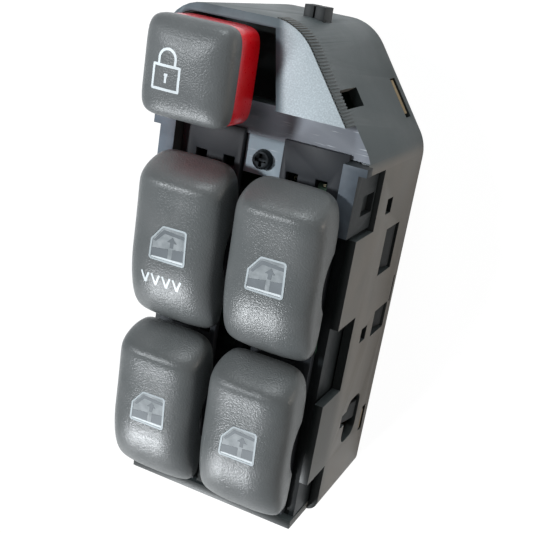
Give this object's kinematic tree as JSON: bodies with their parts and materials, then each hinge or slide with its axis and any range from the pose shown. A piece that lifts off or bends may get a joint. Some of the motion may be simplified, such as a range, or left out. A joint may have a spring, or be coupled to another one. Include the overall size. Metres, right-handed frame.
{
  "type": "power window switch",
  "caption": "Door armrest switch module: tilting window rocker caps and a red-sleeved lock-out push button on a deep housing with a slanted far corner.",
  "frame": {"origin": "middle of the base cover's underside, the centre of the whole part's box in plan", "axes": "+Z out of the button faces, +Y towards the lock button's end, +X towards the slanted corner's side"},
  "size_m": [0.0518, 0.121, 0.0585],
  "materials": {
    "housing_plastic": "matte moulded plastic with a soft sheen",
    "cover_plastic": "matte moulded plastic",
    "board_laminate": "tan laminate",
    "contact_laminate": "green solder mask",
    "black_plastic": "black moulded plastic",
    "carrier_plastic": "blue-grey moulded plastic",
    "plate_plastic": "dark grey moulded plastic",
    "black_screw": "black finished steel",
    "tinned_pin": "tinned brass",
    "lamp_glass": "clear lamp glass",
    "steel": "plain steel",
    "lock_grey": "mid-grey satin plastic",
    "red_plastic": "glossy red plastic",
    "slider_acetal": "natural white moulding",
    "cap_plastic": "dark warm-grey soft satin plastic",
    "icon_lens": "pale translucent plastic",
    "copper": "copper alloy strip"
  },
  "bodies": {
    "housing": {"outer_housing": "housing_plastic", "base_cover": "cover_plastic", "main_board": "board_laminate", "connector_shroud": "black_plastic", "connector_pins": "tinned_pin", "auto_down_relay": "black_plastic", "link_header": "black_plastic", "link_pins": "tinned_pin", "contact_board": "contact_laminate", "switch_carrier": "carrier_plastic", "left_cover_plate": "plate_plastic", "right_cover_plate": "plate_plastic", "case_screws": "black_screw", "end_clip": "black_plastic", "icon_lamps": "lamp_glass", "pivot_pins": "steel", "lock_spring": "steel", "lock_switch_case": "black_plastic", "lock_latch_pin": "steel", "driver_return_spring": "steel", "passenger_return_spring": "steel", "rear_left_return_spring": "steel", "rear_right_return_spring": "steel"},
    "driver_rocker": {"driver_cap": "cap_plastic", "driver_lens": "icon_lens", "driver_lever": "black_plastic"},
    "driver_contact": {"driver_slider": "slider_acetal", "driver_wiper": "copper"},
    "passenger_rocker": {"passenger_cap": "cap_plastic", "passenger_lens": "icon_lens", "passenger_lever": "black_plastic"},
    "passenger_contact": {"passenger_slider": "slider_acetal", "passenger_wiper": "copper"},
    "rear_left_rocker": {"rear_left_cap": "cap_plastic", "rear_left_lens": "icon_lens", "rear_left_lever": "black_plastic"},
    "rear_left_contact": {"rear_left_slider": "slider_acetal", "rear_left_wiper": "copper"},
    "rear_right_rocker": {"rear_right_cap": "cap_plastic", "rear_right_lens": "icon_lens", "rear_right_lever": "black_plastic"},
    "rear_right_contact": {"rear_right_slider": "slider_acetal", "rear_right_wiper": "copper"},
    "lock_button": {"lock_cap": "lock_grey", "lock_sleeve": "red_plastic", "lock_stem": "slider_acetal"}
  },
  "joints": [
    {"name": "driver_tilt", "type": "hinge", "parent": "housing", "child": "driver_rocker", "pos_m": [-0.012, 0.0065, 0.042], "axis": [1, 0, 0], "range_deg": [-5.5, 8.5], "stiffness_Nm_per_rad": 0.1, "deforming": ["driver_return_spring"]},
    {"name": "driver_contact_slide", "type": "slide", "parent": "housing", "child": "driver_contact", "axis": [0, 1, 0], "range_m": [-0.0016, 0.0024]},
    {"name": "passenger_tilt", "type": "hinge", "parent": "housing", "child": "passenger_rocker", "pos_m": [0.012, 0.0065, 0.042], "axis": [1, 0, 0], "range_deg": [-5.5, 5.5], "stiffness_Nm_per_rad": 0.1, "deforming": ["passenger_return_spring"]},
    {"name": "passenger_contact_slide", "type": "slide", "parent": "housing", "child": "passenger_contact", "axis": [0, 1, 0], "range_m": [-0.0016, 0.0016]},
    {"name": "rear_left_tilt", "type": "hinge", "parent": "housing", "child": "rear_left_rocker", "pos_m": [-0.012, -0.0342, 0.042], "axis": [1, 0, 0], "range_deg": [-5.5, 5.5], "stiffness_Nm_per_rad": 0.1, "deforming": ["rear_left_return_spring"]},
    {"name": "rear_left_contact_slide", "type": "slide", "parent": "housing", "child": "rear_left_contact", "axis": [0, 1, 0], "range_m": [-0.0016, 0.0016]},
    {"name": "rear_right_tilt", "type": "hinge", "parent": "housing", "child": "rear_right_rocker", "pos_m": [0.012, -0.0342, 0.042], "axis": [1, 0, 0], "range_deg": [-5.5, 5.5], "stiffness_Nm_per_rad": 0.1, "deforming": ["rear_right_return_spring"]},
    {"name": "rear_right_contact_slide", "type": "slide", "parent": "housing", "child": "rear_right_contact", "axis": [0, 1, 0], "range_m": [-0.0016, 0.0016]},
    {"name": "lock_press", "type": "slide", "parent": "housing", "child": "lock_button", "axis": [0, 0, 1], "range_m": [-0.0026, 0], "stiffness_N_per_m": 300, "springref_m": 0.003, "deforming": ["lock_spring"]}
  ],
  "couplings": [
    {"joint": "driver_contact_slide", "follows": "driver_tilt", "m_per_rad": 0.014},
    {"joint": "passenger_contact_slide", "follows": "passenger_tilt", "m_per_rad": 0.014},
    {"joint": "rear_left_contact_slide", "follows": "rear_left_tilt", "m_per_rad": 0.014},
    {"joint": "rear_right_contact_slide", "follows": "rear_right_tilt", "m_per_rad": 0.014}
  ]
}
